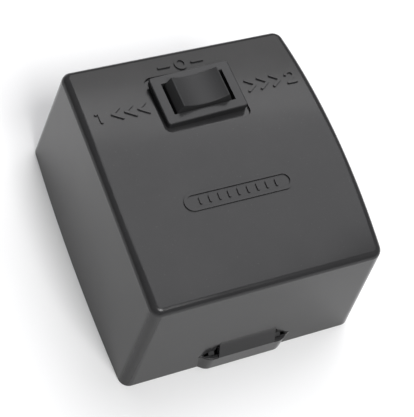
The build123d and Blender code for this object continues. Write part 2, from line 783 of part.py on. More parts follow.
port_level = plate_thickness + insert_level
block_top = plate_thickness + block_height
block_mid_y = (block_y0 + block_y1) / 2


def make_terminal_block_body():
    half_l = block_ways * block_pitch / 2
    body = block(-half_l, half_l, block_y0, block_y1, plate_thickness, block_top)
    body = fillet(body.edges().filter_by(Axis.Z), 0.8)
    body = chamfer(body.edges().group_by(Axis.Z)[-1], 0.6)
    xs = way_xs()
    for left, right in zip(xs, xs[1:]):
        middle = (left + right) / 2
        body -= block(middle - block_groove / 2, middle + block_groove / 2, block_y0 - 1, block_y1 + 1,
                      plate_thickness + block_floor, block_top + 1)
    cavity_half = insert_size / 2 + insert_clearance
    cavity_reach = insert_length / 2 + insert_clearance
    for x in xs:
        body -= block(x - cavity_half, x + cavity_half, block_mid_y - cavity_reach,
                      block_mid_y + cavity_reach, port_level - cavity_half, port_level + cavity_half)
        port = Pos(x, block_mid_y, port_level) * (Rot(90, 0, 0) * Cylinder(port_radius, 2 * block_depth))
        body -= port
        for side in (-1, 1):
            body -= rod(screw_access_radius, port_level, block_top + 1, x,
                        block_mid_y + side * clamp_screw_offset)
    counterbore = screw_head_radius + screw_clearance
    for x in block_fixing_xs():
        body -= rod(counterbore, plate_thickness + block_floor, block_top + 1, x, block_mid_y)
        body -= rod(screw_shank_radius + screw_clearance, 0, block_top, x, block_mid_y)
    return body


def make_terminal_block_inserts():
    inserts = []
    half = insert_size / 2
    for x in way_xs():
        insert = block(x - half, x + half, block_mid_y - insert_length / 2,
                       block_mid_y + insert_length / 2, port_level - half, port_level + half)
        bore = Rot(90, 0, 0) * Cylinder(port_radius, 2 * insert_length)
        insert -= Pos(x, block_mid_y, port_level) * bore
        for side in (-1, 1):
            insert -= rod(clamp_screw_radius + screw_clearance, port_level, port_level + 2 * half, x,
                          block_mid_y + side * clamp_screw_offset)
        inserts.append(insert)
    return inserts


def make_terminal_block_screws():
    screws = []
    low = port_level + wire_radius + 0.1
    high = low + clamp_screw_length
    for x in way_xs():
        for side in (-1, 1):
            y = block_mid_y + side * clamp_screw_offset
            screw = rod(clamp_screw_radius, low, high, x, y)
            half_slot = screw_slot / 2
            screw -= block(x - 2, x + 2, y - half_slot, y + half_slot, high - 0.7, high + 1)
            screws.append(screw)
    return screws


def make_terminal_block_fixing_screws():
    level = plate_thickness + block_floor
    bite = block_floor + plate_thickness - 0.7
    return [pan_screw(x, block_mid_y, level, bite) for x in block_fixing_xs()]


# ================================================================ capacitor
capacitor_top = plate_thickness + capacitor_height
capacitor_mid_y = (capacitor_y0 + capacitor_y1) / 2
resin_top = capacitor_top - resin_sink


def make_capacitor_case():
    upright = rounded_block(capacitor_length, capacitor_width, capacitor_corner,
                            plate_thickness, capacitor_top)
    upright = Pos(0, capacitor_mid_y, 0) * upright
    half_l = capacitor_length / 2
    ear = block(half_l - 1, half_l + ear_length, capacitor_mid_y - ear_width / 2,
                capacitor_mid_y + ear_width / 2, plate_thickness, plate_thickness + ear_thickness)
    case = upright + ear
    hollow = rounded_block(capacitor_length - 2 * capacitor_wall, capacitor_width - 2 * capacitor_wall,
                           capacitor_corner / 2, resin_top - resin_depth, capacitor_top + 1)
    case -= Pos(0, capacitor_mid_y, 0) * hollow
    case -= rod(screw_shank_radius + screw_clearance, 0, plate_thickness + 2 * ear_thickness,
                half_l + ear_length / 2, capacitor_mid_y)
    return case


def make_capacitor_resin():
    resin = rounded_block(capacitor_length - 2 * capacitor_wall, capacitor_width - 2 * capacitor_wall,
                          capacitor_corner / 2, resin_top - resin_depth, resin_top)
    resin = Pos(0, capacitor_mid_y, 0) * resin
    for side in (-1, 1):
        resin -= rod(lead_radius, resin_top - resin_depth / 2, resin_top + 1,
                     side * capacitor_lead_offset, capacitor_mid_y)
    return resin


def make_capacitor_screw():
    x = capacitor_length / 2 + ear_length / 2
    level = plate_thickness + ear_thickness
    return pan_screw(x, capacitor_mid_y, level, ear_thickness + plate_thickness - 0.7)


def capacitor_lead(side, way, name):
    """Lead from the resin face, over and down into the near port of a way."""
    x0 = side * capacitor_lead_offset
    x1 = way_xs()[way]
    start_z = resin_top - resin_depth / 2
    fall_y = (capacitor_y1 + block_y0) / 2 - 0.6
    loop_z = resin_top + lead_rise
    stop_y = block_y0 + wire_bite
    points = [(x0, capacitor_mid_y, start_z),
              (x0, capacitor_mid_y, loop_z),
              ((2 * x0 + x1) / 3, fall_y, loop_z + 0.6),
              (x1, fall_y + 0.3, port_level),
              (x1, stop_y, port_level)]
    return wire(points, lead_radius, name)


# ================================================================ switch wires
def switch_wire(index, way, name):
    """Wire from a receptacle's crimp down and round into the far port of a way."""
    crimp = seat_point(index * terminal_pitch, receptacle_bottom - 0.3)
    below = seat_point(index * terminal_pitch, barrel_bottom_level - sleeve_tail - wire_drop)
    x1 = way_xs()[way]
    points = [tuple(crimp), tuple(below),
              (x1, block_y1 + wire_lead_in, port_level),
              (x1, block_y1 - wire_bite, port_level)]
    return wire(points, wire_radius, name)


# ================================================================ write every node
def as_node(shape):
    """One compound of all the solids of a node."""
    shapes = shape if isinstance(shape, list) else [shape]
    solids = [solid for item in shapes for solid in item.solids()]
    return solids[0] if len(solids) == 1 else Compound(children=solids)


nodes = {
    "front_cover": make_front_cover(),
    "back_plate": make_back_plate(),
    "cable_grommet": make_cable_grommet(),
    "cable_clamp_bar": make_cable_clamp_bar(),
    "cable_clamp_screws": make_cable_clamp_screws(),
    "switch_body": make_switch_body(),
    "switch_base": make_switch_base(),
    "rocker_button": make_rocker_button(),
    "contact_plunger": make_contact_plunger(),
    "plunger_spring": make_plunger_spring(),
    "moving_contact": make_moving_contact(),
    "moving_contact_rivets": make_moving_contact_rivets(),
    "common_terminal": make_common_terminal(),
    "intake_terminal": make_side_terminal(-1),
    "exhaust_terminal": make_side_terminal(1),
    "fixed_contact_rivets": make_fixed_contact_rivets(),
    "tab_receptacles": make_tab_receptacles(),
    "receptacle_sleeves": make_receptacle_sleeves(),
    "terminal_block_body": make_terminal_block_body(),
    "terminal_block_inserts": make_terminal_block_inserts(),
    "terminal_block_screws": make_terminal_block_screws(),
    "terminal_block_fixing_screws": make_terminal_block_fixing_screws(),
    "capacitor_case": make_capacitor_case(),
    "capacitor_resin": make_capacitor_resin(),
    "capacitor_screw": make_capacitor_screw(),
    "capacitor_wire_a": capacitor_lead(-1, 0, "capacitor_wire_a"),
    "capacitor_wire_b": capacitor_lead(1, 2, "capacitor_wire_b"),
    "wire_intake": switch_wire(-1, 0, "wire_intake"),
    "wire_line": switch_wire(0, 1, "wire_line"),
    "wire_exhaust": switch_wire(1, 2, "wire_exhaust"),
}

os.makedirs("parts", exist_ok=True)
for name, shape in nodes.items():
    export_step(as_node(shape), "parts/" + name + ".step")

print("seat", round(switch_y, 3), round(seat_z, 3))
seat_axes = seat_point(0, 1) - seat_point(0, 0), (seat * Location((0, 1, 0))).position - seat_point(0, 0)
print("seat's normal and hinge line", [[round(value, 6) for value in axis] for axis in seat_axes])
print("spring's fixed end", [round(value, 4) for value in seat_point(0, plunger_bore_top)])
print("rocker pivot", [round(value, 4) for value in seat_point(0, -pivot_depth)])
print("fulcrum", [round(value, 4) for value in seat_point(0, fulcrum_level)])
print("entry", round(entry_x, 3), round(entry_y, 3), "wall holes", round(wall_hole_x, 3))
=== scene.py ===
"""Finishes, screws, spring and studio for the wall control box with a three-position rocker switch."""
import json
import math

import bmesh
import bpy
from bpy.props import FloatProperty, FloatVectorProperty, IntProperty, PointerProperty
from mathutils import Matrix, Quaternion, Vector


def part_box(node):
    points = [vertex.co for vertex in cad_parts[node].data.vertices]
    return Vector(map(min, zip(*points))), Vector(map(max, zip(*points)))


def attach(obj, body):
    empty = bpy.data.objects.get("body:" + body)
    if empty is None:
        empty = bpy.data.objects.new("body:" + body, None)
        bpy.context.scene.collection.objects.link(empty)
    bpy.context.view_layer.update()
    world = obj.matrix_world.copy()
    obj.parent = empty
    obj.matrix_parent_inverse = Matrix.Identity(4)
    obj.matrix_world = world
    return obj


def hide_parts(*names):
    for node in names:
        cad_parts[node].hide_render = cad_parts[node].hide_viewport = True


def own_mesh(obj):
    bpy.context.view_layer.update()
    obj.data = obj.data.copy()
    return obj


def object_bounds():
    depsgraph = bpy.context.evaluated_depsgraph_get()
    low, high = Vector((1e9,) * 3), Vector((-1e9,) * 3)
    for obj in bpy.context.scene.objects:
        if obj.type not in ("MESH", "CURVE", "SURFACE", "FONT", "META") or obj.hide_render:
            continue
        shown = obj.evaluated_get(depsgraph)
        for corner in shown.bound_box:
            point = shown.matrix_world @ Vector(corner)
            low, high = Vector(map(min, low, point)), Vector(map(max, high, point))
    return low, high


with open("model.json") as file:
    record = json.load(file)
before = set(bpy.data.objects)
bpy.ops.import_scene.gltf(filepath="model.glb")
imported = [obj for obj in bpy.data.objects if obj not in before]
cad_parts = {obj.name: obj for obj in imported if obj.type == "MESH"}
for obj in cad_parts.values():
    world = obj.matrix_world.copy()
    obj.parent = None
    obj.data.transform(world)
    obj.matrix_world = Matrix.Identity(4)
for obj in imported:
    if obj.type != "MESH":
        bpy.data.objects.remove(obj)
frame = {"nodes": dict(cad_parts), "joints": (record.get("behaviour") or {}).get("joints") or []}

bl_info = {
    "name": "Fan control box",
    "version": (1, 0, 0),
    "blender": (4, 5, 0),
    "location": "3D View > Sidebar > Control Box",
    "description": "Finishes, screws, spring and studio of a wall control box with a rocker switch",
    "category": "Object",
}

MM = 0.001
CAD_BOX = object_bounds()

FLOOR_GAP = 0.1 * MM          # keeps the floor just clear of the wall face
STUDIO_MIDDLE = (0.0, 0.0, 0.03)

EDGE_RADIUS = 0.35 * MM       # how far from an edge the rubbing reaches
EDGE_SAMPLES = 6              # rays that look for an edge
RUBBED_SHADE = 2.2            # how much lighter rubbed plastic is
DUST_TINT = (0.34, 0.33, 0.32)
DUST_FILM_SCALE = 60.0        # cycles per metre
LEAST_DUST = 0.15             # share that still clings to upright faces
TARNISH_SCALE = 320.0         # cycles per metre
TARNISH_SHADE = 0.55
LINE_STRETCH = 0.08           # scale of the drawing lines along Z, against across it
NYLON_SCATTER = (1.5 * MM, 1.4 * MM, 1.2 * MM)

WELD_DISTANCE = 0.001 * MM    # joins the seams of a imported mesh
SEAT_STEP = 0.2 * MM          # how far under its head a screw's shank is measured
SHANK_SIDES = 24
SCREW_SEED = 7                # seed of the screws' random turns
COIL_STEPS = 40               # points on each turn of the spring
CLOSED_TURNS = 0.8            # turns wound close at each end


def colour_property(name, description, default):
    """A colour that a user can change."""
    return FloatVectorProperty(name=name, description=description, default=default, size=3,
                               min=0.0, max=1.0, subtype="COLOR")


def length_property(name, description, default):
    """A length in metres that a user can change."""
    return FloatProperty(name=name, description=description, default=default, min=0.0,
                         unit="LENGTH", subtype="DISTANCE", precision=5)


def share_property(name, description, default):
    """A share from 0 to 1 that a user can change."""
    return FloatProperty(name=name, description=description, default=default, min=0.0, max=1.0,
                         subtype="FACTOR")


# ================================================================ settings
class MouldingSettings(bpy.types.PropertyGroup):
    """Colours and surface of the moulded pieces."""
    cover_colour: colour_property("Cover", "Charcoal of the front cover", (0.027, 0.0268, 0.0277))
    switch_colour: colour_property("Switch", "Charcoal of the switch's bezel", (0.028, 0.028, 0.029))
    rocker_colour: colour_property("Rocker", "Charcoal of the rocker button", (0.031, 0.031, 0.032))
    plate_colour: colour_property("Back plate", "Charcoal of the back plate", (0.042, 0.042, 0.043))
    gloss_roughness: share_property("Cover roughness", "Roughness of the polished mouldings", 0.19)
    satin_roughness: share_property("Plate roughness", "Roughness of the satin mouldings", 0.5)
    grain_size: length_property("Grain", "Size of the mould's surface grain", 0.35 * MM)
    wave_size: length_property("Waves", "Size of the slight waves that cooling leaves", 16 * MM)
    dust: share_property("Dust", "How much fine dust lies on upward faces", 0.04)
    wear: share_property("Wear", "How far the edges are rubbed lighter", 0.06)


class MetalSettings(bpy.types.PropertyGroup):
    """Colours of the metal pieces."""
    brass_colour: colour_property("Brass", "Stamped and turned brass", (0.72, 0.5, 0.2))
    tin_colour: colour_property("Tinned brass", "Tinned push-on receptacles", (0.68, 0.63, 0.5))
    zinc_colour: colour_property("Zinc plate", "Zinc-plated screws", (0.62, 0.63, 0.62))
    spring_colour: colour_property("Spring steel", "Drawn spring wire", (0.5, 0.5, 0.5))
    silver_colour: colour_property("Silver contact", "Silver alloy contact faces", (0.78, 0.77, 0.74))


class WiringSettings(bpy.types.PropertyGroup):
    """Colours of the insulation, the terminal block and the capacitor."""
    line_colour: colour_property("Line wire", "Brown insulation", (0.16, 0.07, 0.035))
    intake_colour: colour_property("Intake wire", "Blue insulation", (0.02, 0.09, 0.36))
    exhaust_colour: colour_property("Exhaust wire", "Red insulation", (0.42, 0.025, 0.018))
    lead_colour: colour_property("Capacitor leads", "Black insulation", (0.018, 0.018, 0.018))
    block_colour: colour_property("Terminal block", "Natural nylon", (0.74, 0.72, 0.65))
    sleeve_colour: colour_property("Sleeves", "Milky flexible sleeves", (0.66, 0.66, 0.62))


class ScrewSettings(bpy.types.PropertyGroup):
    """Shape of the cross-recessed pan-head screws."""
    crown_share: share_property("Crown", "Rise of the head's crown as a share of its height", 0.42)
    recess_share: share_property("Recess depth", "Depth of the cross as a share of the head", 0.55)
    recess_width: share_property("Recess width", "Width of each arm as a share of the radius", 0.3)
    recess_reach: share_property("Recess reach", "Length of each arm as a share of the radius", 0.62)
    sides: IntProperty(name="Sides", description="Sides round each head", default=40, min=8, max=96)


class SpringSettings(bpy.types.PropertyGroup):
    """Shape of the coil spring behind the plunger."""
    wire: length_property("Wire", "Diameter of the spring wire", 0.32 * MM)
    closed_share: share_property("Closed ends", "Share of the length in evenly wound coils", 0.52)
    turns: IntProperty(name="Turns", description="Turns from end to end", default=6, min=3, max=20)
    sides: IntProperty(name="Sides", description="Sides round the wire", default=14, min=6, max=48)


class StudioSettings(bpy.types.PropertyGroup):
    """Camera, floor and lights."""
    camera_place: FloatVectorProperty(name="Camera", description="Where the camera stands", size=3,
                                      default=(-0.1358, -0.1517, 0.3532), subtype="TRANSLATION",
                                      unit="LENGTH")
    camera_aim: FloatVectorProperty(name="Aim", description="Point that the camera looks at", size=3,
                                    default=(0.0003, -0.0021, 0.0200), subtype="TRANSLATION",
                                    unit="LENGTH")
    camera_roll: FloatProperty(name="Roll", description="Turn of the camera about its line of sight",
                               default=math.radians(-24.1), subtype="ANGLE")
    focal_length: FloatProperty(name="Focal length", description="In millimetres, on a 36 mm sensor",
                                default=113.5, min=10, max=400)
    key_power: FloatProperty(name="Key light", description="Power in watts", default=16.8, min=0)
    panel_power: FloatProperty(name="Overhead panel", description="Power in watts", default=16.5, min=0)
    back_power: FloatProperty(name="Back panel", description="Power in watts", default=5.0, min=0)
    surroundings: FloatProperty(name="Surroundings", description="Brightness of the room",
                                default=0.1, min=0)
    floor_colour: colour_property("Floor", "Pale floor", (0.92, 0.92, 0.92))
    floor_size: length_property("Floor size", "Side of the square floor", 6.0)


# ================================================================ shader node groups
def new_shader_group(name, inputs, outputs):
    """An empty group with its sockets, and its input and output nodes."""
    group = bpy.data.node_groups.new(name, "ShaderNodeTree")
    for label, kind, value in inputs:
        socket = group.interface.new_socket(name=label, in_out="INPUT", socket_type=kind)
        if value is not None:
            socket.default_value = value
    for label, kind in outputs:
        group.interface.new_socket(name=label, in_out="OUTPUT", socket_type=kind)
    return group, group.nodes.new("NodeGroupInput"), group.nodes.new("NodeGroupOutput")


def math_node(tree, operation, first, second=None, clamp=False):
    """A Math node whose operands are sockets or numbers. Returns its output."""
    node = tree.nodes.new("ShaderNodeMath")
    node.operation = operation
    node.use_clamp = clamp
    for index, operand in enumerate((first, second)):
        if operand is None:
            continue
        if isinstance(operand, bpy.types.NodeSocket):
            tree.links.new(operand, node.inputs[index])
        else:
            node.inputs[index].default_value = operand
    return node.outputs[0]


def noise_node(tree, vector, scale, detail=2.0, roughness=0.5):
    """A Noise Texture in three dimensions. Returns its factor."""
    node = tree.nodes.new("ShaderNodeTexNoise")
    node.inputs["Detail"].default_value = detail
    node.inputs["Roughness"].default_value = roughness
    tree.links.new(vector, node.inputs["Vector"])
    if isinstance(scale, bpy.types.NodeSocket):
        tree.links.new(scale, node.inputs["Scale"])
    else:
        node.inputs["Scale"].default_value = scale
    return node.outputs["Fac"]


def ramp_node(tree, value, low, high):
    """Spreads a value so that low becomes 0 and high becomes 1. Both are sockets or numbers."""
    node = tree.nodes.new("ShaderNodeMapRange")
    for label, limit in (("From Min", low), ("From Max", high)):
        if isinstance(limit, bpy.types.NodeSocket):
            tree.links.new(limit, node.inputs[label])
        else:
            node.inputs[label].default_value = limit
    tree.links.new(value, node.inputs["Value"])
    return node.outputs["Result"]


def mould_grain_group():
    """Fine grain and slow waves of a moulded face."""
    group, start, end = new_shader_group(
        "mould_grain",
        [("Vector", "NodeSocketVector", None), ("Grain Size", "NodeSocketFloat", 0.35 * MM),
         ("Wave Size", "NodeSocketFloat", 16 * MM), ("Wave Share", "NodeSocketFloat", 0.5)],
        [("Height", "NodeSocketFloat"), ("Patch", "NodeSocketFloat")])
    place = start.outputs["Vector"]
    grain = noise_node(group, place, math_node(group, "DIVIDE", 1.0, start.outputs["Grain Size"]), 3.0)
    wave_scale = math_node(group, "DIVIDE", 1.0, start.outputs["Wave Size"])
    wave = noise_node(group, place, wave_scale, 1.0)
    patch = noise_node(group, place, math_node(group, "MULTIPLY", wave_scale, 0.7), 4.0, 0.6)
    raised = math_node(group, "MULTIPLY", wave, start.outputs["Wave Share"])
    group.links.new(math_node(group, "ADD", grain, raised), end.inputs["Height"])
    group.links.new(ramp_node(group, patch, 0.35, 0.65), end.inputs["Patch"])
    return group


def edge_rub_group():
    """Mask of outer edges, broken up where handling missed them."""
    group, start, end = new_shader_group(
        "edge_rub",
        [("Vector", "NodeSocketVector", None), ("Amount", "NodeSocketFloat", 0.3),
         ("Patch Size", "NodeSocketFloat", 3 * MM)],
        [("Mask", "NodeSocketFloat")])
    rounded = group.nodes.new("ShaderNodeBevel")
    rounded.samples = EDGE_SAMPLES
    rounded.inputs["Radius"].default_value = EDGE_RADIUS
    surface = group.nodes.new("ShaderNodeNewGeometry")
    match = group.nodes.new("ShaderNodeVectorMath")
    match.operation = "DOT_PRODUCT"
    group.links.new(rounded.outputs["Normal"], match.inputs[0])
    group.links.new(surface.outputs["Normal"], match.inputs[1])
    edge = ramp_node(group, math_node(group, "SUBTRACT", 1.0, match.outputs["Value"]), 0.01, 0.16)
    patch_scale = math_node(group, "DIVIDE", 1.0, start.outputs["Patch Size"])
    patch = ramp_node(group, noise_node(group, start.outputs["Vector"], patch_scale, 3.0), 0.38, 0.62)
    mask = math_node(group, "MULTIPLY", edge, patch)
    group.links.new(math_node(group, "MULTIPLY", mask, start.outputs["Amount"], clamp=True),
                    end.inputs["Mask"])
    return group


def settled_dust_group():
    """Mask of fine dust: a thin film with a few specks, on faces that look outwards from the wall."""
    group, start, end = new_shader_group(
        "settled_dust",
        [("Vector", "NodeSocketVector", None), ("Amount", "NodeSocketFloat", 0.2),
         ("Speck Size", "NodeSocketFloat", 0.5 * MM)],
        [("Mask", "NodeSocketFloat")])
    place = start.outputs["Vector"]
    surface = group.nodes.new("ShaderNodeNewGeometry")
    parts = group.nodes.new("ShaderNodeSeparateXYZ")
    group.links.new(surface.outputs["Normal"], parts.inputs[0])
    upward = math_node(group, "MAXIMUM", parts.outputs["Z"], LEAST_DUST)
    speck_scale = math_node(group, "DIVIDE", 1.0, start.outputs["Speck Size"])
    specks = ramp_node(group, noise_node(group, place, speck_scale, 0.0), 0.78, 0.86)
    film = ramp_node(group, noise_node(group, place, DUST_FILM_SCALE, 5.0, 0.65), 0.42, 0.75)
    cover = math_node(group, "ADD", math_node(group, "MULTIPLY", film, 0.3), specks, clamp=True)
    mask = math_node(group, "MULTIPLY", cover, upward)
    group.links.new(math_node(group, "MULTIPLY", mask, start.outputs["Amount"], clamp=True),
                    end.inputs["Mask"])
    return group


def drawn_metal_group():
    """Fine lines along one direction, as drawing, rolling or turning leaves them."""
    group, start, end = new_shader_group(
        "drawn_metal",
        [("Vector", "NodeSocketVector", None), ("Line Size", "NodeSocketFloat", 0.12 * MM)],
        [("Height", "NodeSocketFloat"), ("Tarnish", "NodeSocketFloat")])
    place = start.outputs["Vector"]
    stretch = group.nodes.new("ShaderNodeMapping")
    stretch.inputs["Scale"].default_value = (1.0, 1.0, LINE_STRETCH)
    group.links.new(place, stretch.inputs["Vector"])
    line_scale = math_node(group, "DIVIDE", 1.0, start.outputs["Line Size"])
    group.links.new(noise_node(group, stretch.outputs["Vector"], line_scale, 2.0),
                    end.inputs["Height"])
    spots = noise_node(group, place, TARNISH_SCALE, 4.0, 0.6)
    group.links.new(ramp_node(group, spots, 0.4, 0.72), end.inputs["Tarnish"])
    return group


GROUP_MAKERS = {"mould_grain": mould_grain_group, "edge_rub": edge_rub_group,
                "settled_dust": settled_dust_group, "drawn_metal": drawn_metal_group}


def place_group(tree, name, vector, **values):
    """Puts a shared group in a material, with the material's own values."""
    node = tree.nodes.new("ShaderNodeGroup")
    node.node_tree = bpy.data.node_groups.get(name) or GROUP_MAKERS[name]()
    tree.links.new(vector, node.inputs["Vector"])
    for label, value in values.items():
        node.inputs[label.replace("_", " ")].default_value = value
    return node


# ================================================================ materials
def new_material(name):
    """A node material. Returns it with its tree, Principled BSDF and object coordinates."""
    material = bpy.data.materials.new(name)
    material.use_nodes = True
    tree = material.node_tree
    place = tree.nodes.new("ShaderNodeTexCoord").outputs["Object"]
    return material, tree, tree.nodes["Principled BSDF"], place


def mix_colours(tree, mask, first, second):
    """Blends two colours, each a socket or a plain colour, by a mask."""
    node = tree.nodes.new("ShaderNodeMix")
    node.data_type = "RGBA"
    tree.links.new(mask, node.inputs[0])
    for index, colour in ((6, first), (7, second)):
        if isinstance(colour, bpy.types.NodeSocket):
            tree.links.new(colour, node.inputs[index])
        else:
            node.inputs[index].default_value = (*colour, 1.0)
    return node.outputs[2]


def shade(colour, factor):
    """A colour made lighter or darker."""
    return tuple(min(1.0, part * factor) for part in colour)


def add_bump(tree, shader, height, distance, strength=1.0):
    """Feeds a height to the shader's normal."""
    bump = tree.nodes.new("ShaderNodeBump")
    bump.inputs["Strength"].default_value = strength
    bump.inputs["Distance"].default_value = distance
    tree.links.new(height, bump.inputs["Height"])
    tree.links.new(bump.outputs["Normal"], shader.inputs["Normal"])


def moulded_material(name, colour, roughness, settings, grain_depth, wave_share=6.0,
                     dust_share=1.0, wear_share=1.0, refraction=1.3):
    """Injection-moulded plastic: grain, slow waves, rubbed edges and a little dust."""
    material, tree, shader, place = new_material(name)
    grain = place_group(tree, "mould_grain", place, Grain_Size=settings.grain_size,
                        Wave_Size=settings.wave_size, Wave_Share=wave_share)
    rub = place_group(tree, "edge_rub", place, Amount=settings.wear * wear_share)
    dust = place_group(tree, "settled_dust", place, Amount=settings.dust * dust_share)
    patched = mix_colours(tree, grain.outputs["Patch"], shade(colour, 0.965), shade(colour, 1.035))
    rubbed = mix_colours(tree, rub.outputs["Mask"], patched, shade(colour, RUBBED_SHADE))
    dusty = mix_colours(tree, dust.outputs["Mask"], rubbed, DUST_TINT)
    tree.links.new(dusty, shader.inputs["Base Color"])
    spread = math_node(tree, "MULTIPLY", grain.outputs["Patch"], 0.07)
    dulled = math_node(tree, "MULTIPLY", dust.outputs["Mask"], 0.5)
    rough = math_node(tree, "ADD", math_node(tree, "ADD", spread, roughness - 0.035), dulled, clamp=True)
    tree.links.new(rough, shader.inputs["Roughness"])
    shader.inputs["IOR"].default_value = refraction
    add_bump(tree, shader, grain.outputs["Height"], grain_depth)
    return material


def metal_material(name, colour, roughness, line_size=0.12 * MM, tarnish=0.35):
    """Bare or plated metal with drawing lines and a little tarnish."""
    material, tree, shader, place = new_material(name)
    drawn = place_group(tree, "drawn_metal", place, Line_Size=line_size)
    mask = math_node(tree, "MULTIPLY", drawn.outputs["Tarnish"], tarnish)
    tarnished = mix_colours(tree, mask, colour, shade(colour, TARNISH_SHADE))
    tree.links.new(tarnished, shader.inputs["Base Color"])
    rough = math_node(tree, "ADD", math_node(tree, "MULTIPLY", mask, 0.5), roughness, clamp=True)
    tree.links.new(rough, shader.inputs["Roughness"])
    shader.inputs["Metallic"].default_value = 1.0
    add_bump(tree, shader, drawn.outputs["Height"], 0.004 * MM)
    return material


def soft_material(name, colour, roughness, settings, clearness=0.0):
    """Soft PVC, rubber or nylon: matt, slightly mottled."""
    material, tree, shader, place = new_material(name)
    grain = place_group(tree, "mould_grain", place, Grain_Size=settings.grain_size * 0.7,
                        Wave_Size=settings.wave_size * 0.3, Wave_Share=0.4)
    dust = place_group(tree, "settled_dust", place, Amount=settings.dust * 0.8)
    mottled = mix_colours(tree, grain.outputs["Patch"], shade(colour, 0.9), shade(colour, 1.08))
    dusty = mix_colours(tree, dust.outputs["Mask"], mottled, DUST_TINT)
    tree.links.new(dusty, shader.inputs["Base Color"])
    spread = math_node(tree, "MULTIPLY", grain.outputs["Patch"], 0.1)
    tree.links.new(math_node(tree, "ADD", spread, roughness, clamp=True), shader.inputs["Roughness"])
    if clearness:
        shader.inputs["Subsurface Weight"].default_value = clearness
        shader.inputs["Subsurface Radius"].default_value = NYLON_SCATTER
        shader.inputs["Subsurface Scale"].default_value = 1.0
    add_bump(tree, shader, grain.outputs["Height"], 0.01 * MM)
    return material


def dress(material, *nodes):
    """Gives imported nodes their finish."""
    for name in nodes:
        for slot in frame["nodes"][name].material_slots:
            slot.material = material


# ================================================================ screws and spring
def solid_parts(node):
    """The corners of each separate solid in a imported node."""
    mesh = bmesh.new()
    mesh.from_mesh(frame["nodes"][node].data)
    bmesh.ops.remove_doubles(mesh, verts=mesh.verts, dist=WELD_DISTANCE)
    solids = []
    unseen = set(mesh.verts)
    for seed in mesh.verts:
        if seed not in unseen:
            continue
        unseen.discard(seed)
        waiting = [seed]
        corners = []
        while waiting:
            vertex = waiting.pop()
            corners.append(vertex.co.copy())
            for edge in vertex.link_edges:
                other = edge.other_vert(vertex)
                if other in unseen:
                    unseen.discard(other)
                    waiting.append(other)
        solids.append(corners)
    mesh.free()
    return solids


def new_geometry_tree(name, lengths, sides):
    """A Geometry Nodes tree that takes points, lengths, a number of sides and a material."""
    tree = bpy.data.node_groups.new(name, "GeometryNodeTree")
    face = tree.interface
    face.new_socket(name="Geometry", in_out="INPUT", socket_type="NodeSocketGeometry")
    for label, value in lengths:
        socket = face.new_socket(name=label, in_out="INPUT", socket_type="NodeSocketFloat")
        socket.default_value = value
    socket = face.new_socket(name="Sides", in_out="INPUT", socket_type="NodeSocketInt")
    socket.default_value = sides
    face.new_socket(name="Material", in_out="INPUT", socket_type="NodeSocketMaterial")
    face.new_socket(name="Geometry", in_out="OUTPUT", socket_type="NodeSocketGeometry")
    return tree, tree.nodes.new("NodeGroupInput").outputs, tree.nodes.new("NodeGroupOutput")


def vector_node(tree, x=0.0, y=0.0, z=0.0):
    """A vector whose parts are sockets or numbers. Returns its output."""
    node = tree.nodes.new("ShaderNodeCombineXYZ")
    for index, part in enumerate((x, y, z)):
        if isinstance(part, bpy.types.NodeSocket):
            tree.links.new(part, node.inputs[index])
        else:
            node.inputs[index].default_value = part
    return node.outputs[0]


def copies_on_points(tree, value, shape, turn, end):
    """Ends a tree: real copies of a shape at every point, turned, in the tree's material."""
    points = tree.nodes.new("GeometryNodeMeshToPoints")
    tree.links.new(value["Geometry"], points.inputs["Mesh"])
    copies = tree.nodes.new("GeometryNodeInstanceOnPoints")
    tree.links.new(points.outputs["Points"], copies.inputs["Points"])
    tree.links.new(shape, copies.inputs["Instance"])
    tree.links.new(turn, copies.inputs["Rotation"])
    real = tree.nodes.new("GeometryNodeRealizeInstances")
    tree.links.new(copies.outputs["Instances"], real.inputs["Geometry"])
    finish = tree.nodes.new("GeometryNodeSetMaterial")
    tree.links.new(real.outputs["Geometry"], finish.inputs["Geometry"])
    tree.links.new(value["Material"], finish.inputs["Material"])
    tree.links.new(finish.outputs["Geometry"], end.inputs["Geometry"])


def moved(tree, geometry, height):
    """Lifts a shape by a height. Returns its output."""
    node = tree.nodes.new("GeometryNodeTransform")
    tree.links.new(geometry, node.inputs["Geometry"])
    tree.links.new(vector_node(tree, z=height), node.inputs["Translation"])
    return node.outputs["Geometry"]


